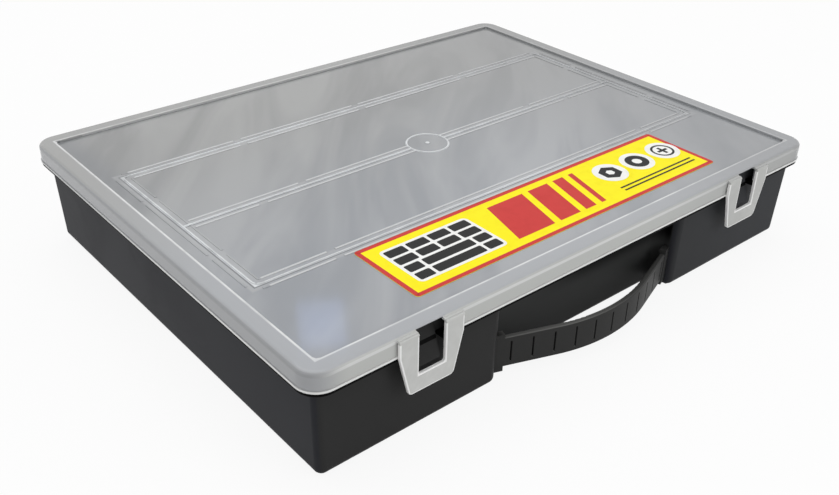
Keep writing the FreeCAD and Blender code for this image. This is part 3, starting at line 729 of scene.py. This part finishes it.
# Painted shade: the right latch is painted darker than the left.
right_latch_shade = ramp(latch_tree, latch_x, *right_along)
latch_unrubbed = blend_colours(latch_tree, right_latch_shade, (0.57, 0.575, 0.56, 1), (0.49, 0.495, 0.48, 1))
latch_rubbed = blend_colours(latch_tree, right_latch_shade, (0.7, 0.705, 0.69, 1), (0.6, 0.605, 0.59, 1))
latch_face = blend_colours(latch_tree, latch_rubs, latch_unrubbed, latch_rubbed)
feed(
    latch_tree, latch_shader,
    Base_Color=blend_colours(latch_tree, latch_edge_highlight, latch_face, (1.0, 1.0, 0.99, 1)),
    Roughness=spread(latch_tree, latch_rubs, 0.28, 0.4),
    Transmission_Weight=0.15,
    IOR=1.49,
)
give(latch_milky, "latch_left", "latch_right")


# %% [markdown]
# The hinge pins are cut from drawn steel wire. Only their ends show, so a metal with a fine draw
# grain along X is enough.

# %% Steel pins
pin_steel, pin_tree, pin_shader = new_material("drawn_steel")
draw = add(pin_tree, "Mapping", Vector=object_places(pin_tree), Scale=(40.0, 2500.0, 2500.0))
draw_grain = add(pin_tree, "TexNoise", Vector=draw.outputs[0], Scale=1.0, Detail=2.0).outputs[0]
feed(
    pin_tree, pin_shader,
    Base_Color=blend_colours(pin_tree, draw_grain, (0.5, 0.5, 0.51, 1), (0.66, 0.66, 0.66, 1)),
    Roughness=spread(pin_tree, draw_grain, 0.22, 0.4),
    Metallic=1.0,
)
give(pin_steel, "hinge_pin_left", "hinge_pin_right")


# %% [markdown]
# The label is coated paper, printed in flat inks. Its picture is a plain design of a parts case:
# a plan of compartments, slanted stripes and discs with a nut, a washer and a screw head. Inks
# could be painted by shader nodes, but thin sheets of ink with true outlines stay sharp at any
# distance. Each shape starts as a plane or a circle, is shaped in edit mode and raised by a hair.

# %% Paper and inks
def print_material(name, colour):
    """Coated paper or ink in one printed colour, with the paper's faint cloud and gloss."""
    faded_share = 0.95
    mottle_range = (0.4, 0.7)
    fibre_depth = 0.05 * MM
    material, tree, shader = new_material(name)
    fibre = add(tree, "TexNoise", Vector=object_places(tree), Scale=160.0, Detail=4.0).outputs[0]
    faded = tuple(faded_share * part for part in colour)
    mottle = ramp(tree, fibre, *mottle_range)
    bump = add(tree, "Bump", Strength=0.03, Distance=fibre_depth, Height=fibre)
    feed(
        tree, shader,
        Base_Color=blend_colours(tree, mottle, (*colour, 1), (*faded, 1)),
        Roughness=spread(tree, fibre, 0.45, 0.55),
        Normal=bump.outputs[0],
        Specular_IOR_Level=0.2,
    )
    return material


inks = {
    "red": print_material("red_ink", (0.6, 0.04, 0.036)),
    "white": print_material("white_ink", (0.9, 0.9, 0.88)),
    "dark": print_material("dark_ink", (0.012, 0.012, 0.012)),
}
give(print_material("yellow_paper", (1.0, 0.87, 0.0)), "lid_label")
ink_step = 0.03 * MM
ink_levels = {colour: label_high.z + layer * ink_step for layer, colour in enumerate(inks)}
ink_shapes = {colour: [] for colour in inks}
corner_segments = 6


# %% Shape a sheet of ink
def start_edit():
    """Edit mode with everything of the new primitive selected."""
    bpy.ops.object.mode_set(mode="EDIT")
    bpy.ops.mesh.select_all(action="SELECT")


def finish_ink(colour):
    """Raises the sheet by a hair, turns its faces outwards and keeps it with its colour."""
    bpy.ops.mesh.select_all(action="SELECT")
    bpy.ops.mesh.extrude_region_move(TRANSFORM_OT_translate={"value": (0, 0, ink_step)})
    bpy.ops.mesh.select_all(action="SELECT")
    bpy.ops.mesh.normals_make_consistent(inside=False)
    bpy.ops.object.mode_set(mode="OBJECT")
    bpy.ops.object.transform_apply(location=True, rotation=True, scale=True)
    ink_shapes[colour].append(bpy.context.object)


def on_label(along, across, colour):
    """A point of the label, from its front left corner, at the level of that ink."""
    return (label_low.x + along, label_low.y + across, ink_levels[colour])


def start_rectangle(colour, along, across):
    """A flat rectangle between two distances along and across the label, in edit mode."""
    bpy.ops.object.select_all(action="DESELECT")
    middle = on_label(sum(along) / 2, sum(across) / 2, colour)
    bpy.ops.mesh.primitive_plane_add(size=1, location=middle)
    start_edit()
    bpy.ops.transform.resize(value=(along[1] - along[0], across[1] - across[0], 1))


def ink_block(colour, along, across, slant=0.0, corner=0.0):
    """A block between two distances along and across the label, slanted and rounded if asked."""
    start_rectangle(colour, along, across)
    bpy.ops.mesh.select_mode(type="VERT")
    bpy.ops.mesh.select_all(action="DESELECT")
    bpy.ops.object.mode_set(mode="OBJECT")
    for vertex in bpy.context.object.data.vertices:
        vertex.select = vertex.co.y > 0
    bpy.ops.object.mode_set(mode="EDIT")
    bpy.ops.transform.translate(value=(slant, 0, 0))
    if corner:
        bpy.ops.mesh.select_all(action="SELECT")
        bpy.ops.mesh.bevel(offset=corner, segments=corner_segments, affect="VERTICES")
    finish_ink(colour)


def ink_frame(colour, along, across, width, corner):
    """A border of one width with rounded corners."""
    start_rectangle(colour, along, across)
    bpy.ops.mesh.bevel(offset=corner, segments=corner_segments, affect="VERTICES")
    bpy.ops.mesh.select_all(action="SELECT")
    bpy.ops.mesh.inset(thickness=width)
    bpy.ops.mesh.delete(type="FACE")
    finish_ink(colour)


def ink_disc(colour, along, across, radius, sides=48, hole=0.0):
    """A disc or a polygon, with a hole if asked."""
    bpy.ops.object.select_all(action="DESELECT")
    bpy.ops.mesh.primitive_circle_add(
        vertices=sides, radius=radius, fill_type="NGON", location=on_label(along, across, colour))
    start_edit()
    if hole:
        bpy.ops.mesh.inset(thickness=radius - hole)
        bpy.ops.mesh.delete(type="FACE")
    finish_ink(colour)


# %% Draw the border and the compartment plan
label_size = label_high - label_low
border = 2.6 * MM
border_corner = 2 * MM
ink_frame("red", (0, label_size.x), (0, label_size.y), border, border_corner)

plan_along = (9 * MM, 66 * MM)
plan_across = (8 * MM, 41.5 * MM)
plan_corner = 3 * MM
ink_block("white", plan_along, plan_across, corner=plan_corner)

cell_gap = 1.8 * MM
cell_corner = 0.9 * MM
plan_row_shares = ((1, 3, 1), (1, 3, 1), (1, 1, 1, 1), (1, 1, 1, 1))
row_depth = (plan_across[1] - plan_across[0] - cell_gap) / len(plan_row_shares)
for row, shares in enumerate(plan_row_shares):
    front = plan_across[0] + cell_gap + row * row_depth
    back = front + row_depth - cell_gap
    left = plan_along[0] + cell_gap
    share_width = (plan_along[1] - plan_along[0] - cell_gap) / sum(shares)
    for share in shares:
        right_end = left + share * share_width - cell_gap
        ink_block("dark", (left, right_end), (front, back), corner=cell_corner)
        left = right_end + cell_gap
print("compartment plan", len(ink_shapes["dark"]), "cells")

# %% Draw the slanted stripes
stripe_slant = 9 * MM
stripe_gap = 4.5 * MM
stripe_widths = (26 * MM, 15 * MM, 8 * MM, 3.5 * MM)
stripe_left = 73 * MM
for stripe_width in stripe_widths:
    ink_block("red", (stripe_left, stripe_left + stripe_width), plan_across, slant=stripe_slant)
    stripe_left += stripe_width + stripe_gap
print("stripes reach", round(stripe_left / MM, 1), "mm along the label")

# %% Draw the discs with a nut, a washer and a screw head
disc_radius = 10.5 * MM
disc_across = 28.5 * MM
first_disc = 166 * MM
disc_pitch = 23.5 * MM
motif_radius = 7.2 * MM
nut_bore = 3.4 * MM
washer_bore = 3.0 * MM
screw_ring = 5.8 * MM
nut_along, washer_along, screw_along = [first_disc + index * disc_pitch for index in range(3)]
for along in (nut_along, washer_along, screw_along):
    ink_disc("white", along, disc_across, disc_radius)
ink_disc("dark", nut_along, disc_across, motif_radius, sides=6, hole=nut_bore)
ink_disc("dark", washer_along, disc_across, motif_radius, hole=washer_bore)
ink_disc("dark", screw_along, disc_across, motif_radius, hole=screw_ring)

slot_half = 3.9 * MM
slot_half_width = 0.95 * MM
slot_long_along = (screw_along - slot_half, screw_along + slot_half)
slot_short_along = (screw_along - slot_half_width, screw_along + slot_half_width)
slot_across = (disc_across - slot_half_width, disc_across + slot_half_width)
ink_block("dark", slot_long_along, slot_across)
ink_block("dark", slot_short_along, (disc_across - slot_half, slot_across[0]))
ink_block("dark", slot_short_along, (slot_across[1], disc_across + slot_half))
print("discs at", [round(along / MM, 1) for along in (nut_along, washer_along, screw_along)], "mm")

# %% Draw the two thin lines
thin_line_along = (156 * MM, 218 * MM)
thin_line_width = 1.2 * MM
thin_lines_across = (8.5 * MM, 11.7 * MM)
for across in thin_lines_across:
    ink_block("dark", thin_line_along, (across, across + thin_line_width))
print("ink shapes", {colour: len(shapes) for colour, shapes in ink_shapes.items()})

# %% Join each ink to one piece that rides on the lid
for colour, shapes in ink_shapes.items():
    bpy.ops.object.select_all(action="DESELECT")
    for shape in shapes:
        shape.select_set(True)
    bpy.context.view_layer.objects.active = shapes[0]
    bpy.ops.object.join()
    print_piece = bpy.context.object
    print_piece.name = f"label_print_{colour}"
    print_piece.data.materials.append(inks[colour])
    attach(print_piece, "lid")
    print(print_piece.name, "faces", len(print_piece.data.polygons))


# %% [markdown]
# The case stands on a plain pale floor in a pale world. The floor is white in the picture, so its
# shader adds a share of plain white for the rays that reach the camera, directly, mirrored or
# through the lid. The rest of it is an ordinary matt surface that takes the shadow. More light
# could whiten the floor too, but it would bleach the case.

# %% Floor
white_share = 0.9
floor_size = 12.0
floor_drop = 0.05 * MM
bpy.ops.object.select_all(action="DESELECT")
bpy.ops.mesh.primitive_plane_add(size=floor_size, location=(0, 0, cad_low.z - floor_drop))
floor = bpy.context.object
floor.name = "studio_floor"


def seen_mask(tree):
    """1 for the rays that show the background: straight, mirrored or through the lid."""
    path = add(tree, "LightPath").outputs
    return largest(tree, path["Is Camera Ray"], path["Is Glossy Ray"], path["Is Transmission Ray"])


floor_material, floor_tree, floor_shader = new_material("pale_floor")
feed(floor_tree, floor_shader, Base_Color=(0.85, 0.85, 0.85, 1), Roughness=0.9)
floor_white = add(floor_tree, "Emission", Color=(1, 1, 1, 1), Strength=1.0)
floor_mix = add(
    floor_tree, "MixShader",
    i0=multiply(floor_tree, seen_mask(floor_tree), white_share),
    i1=floor_shader.outputs[0],
    i2=floor_white.outputs[0],
)
feed(floor_tree, floor_tree.nodes["Material Output"], Surface=floor_mix.outputs[0])
floor.data.materials.append(floor_material)
print(floor.name, "size in m", floor_size)

# %% World
world_light = 0.72
world_white = 1.0
world = bpy.data.worlds.new("pale_studio")
world.use_nodes = True
bpy.context.scene.world = world
world_tree = world.node_tree
world_level = spread(world_tree, seen_mask(world_tree), world_light, world_white)
feed(world_tree, world_tree.nodes["Background"], Color=(1, 1, 1, 1), Strength=world_level)
print(world.name, "light", world_light)


# %% [markdown]
# Soft studio light comes from one wide softbox overhead and a weaker one in front on the right.
# The glossy lid also mirrors a small bluish patch, like a window in the room. It could be painted
# on, but then it would stay there in every view. A small weak lamp gives a true reflection: it
# stands where the camera's line of sight goes on after it is mirrored in the lid.

# %% Softboxes
def softbox(name, place, size, power, colour=(1, 1, 1)):
    """A square area lamp that looks at the middle of the case."""
    lamp = bpy.data.lights.new(name, "AREA")
    lamp.size = size
    lamp.energy = power
    lamp.color = colour
    stand = bpy.data.objects.new(name, lamp)
    aim = Vector((0, 0, cad_high.z / 2)) - Vector(place)
    stand.location = place
    stand.rotation_mode = "QUATERNION"
    stand.rotation_quaternion = aim.to_track_quat("-Z", "Y")
    bpy.context.scene.collection.objects.link(stand)
    print(name, "at", [round(part, 3) for part in place])


softbox("overhead_softbox", place=(-0.1, 0.3, 1.3), size=1.1, power=5.0)
softbox("front_softbox", place=(0.5, -1.4, 0.8), size=0.8, power=4.0)
window_spot = Vector((-155, -112, 62)) * MM
window_distance = 1.2
sight = window_spot - camera_place
mirrored_sight = Vector((sight.x, sight.y, -sight.z)).normalized()
window_place = window_spot + window_distance * mirrored_sight
softbox("sky_window", place=window_place, size=0.075, power=0.046, colour=(0.4, 0.55, 1.0))
